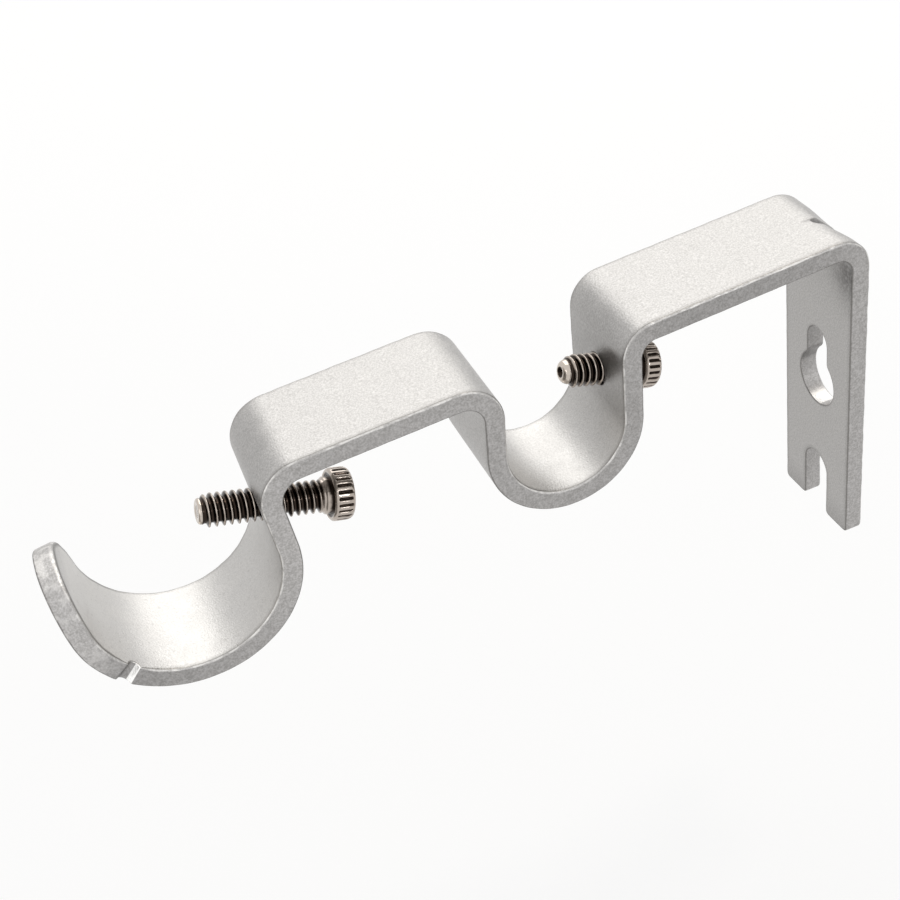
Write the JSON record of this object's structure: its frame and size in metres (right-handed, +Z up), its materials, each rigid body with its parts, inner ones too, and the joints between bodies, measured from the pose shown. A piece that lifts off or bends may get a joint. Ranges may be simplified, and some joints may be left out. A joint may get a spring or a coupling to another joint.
{
  "type": "double curtain pole bracket",
  "caption": "Wall bracket of one bent metal strip with two open cups that carry a front and a rear curtain pole, each held by a knurled thumb screw.",
  "frame": {"origin": "on the back face of the wall leg, halfway across, on the flat land between the keyhole and the open foot slot", "axes": "+X out from the wall into the room, +Y along the poles, +Z up"},
  "size_m": [0.119, 0.017, 0.0536],
  "materials": {
    "strip": "satin silver",
    "screws": "glossy dark nickel"
  },
  "bodies": {
    "bracket_body": {"bracket": "strip"},
    "rear_screw": {"rear_thumb_screw": "screws"},
    "front_screw": {"front_thumb_screw": "screws"}
  },
  "joints": [
    {"name": "rear_screw_slide", "type": "slide", "parent": "bracket_body", "child": "rear_screw", "axis": [0.9613, 0, 0.2756], "range_m": [-0.0054, 0.0011]},
    {"name": "front_screw_slide", "type": "slide", "parent": "bracket_body", "child": "front_screw", "axis": [0.9613, 0, 0.2756], "range_m": [-0.008, 0.0049]}
  ]
}
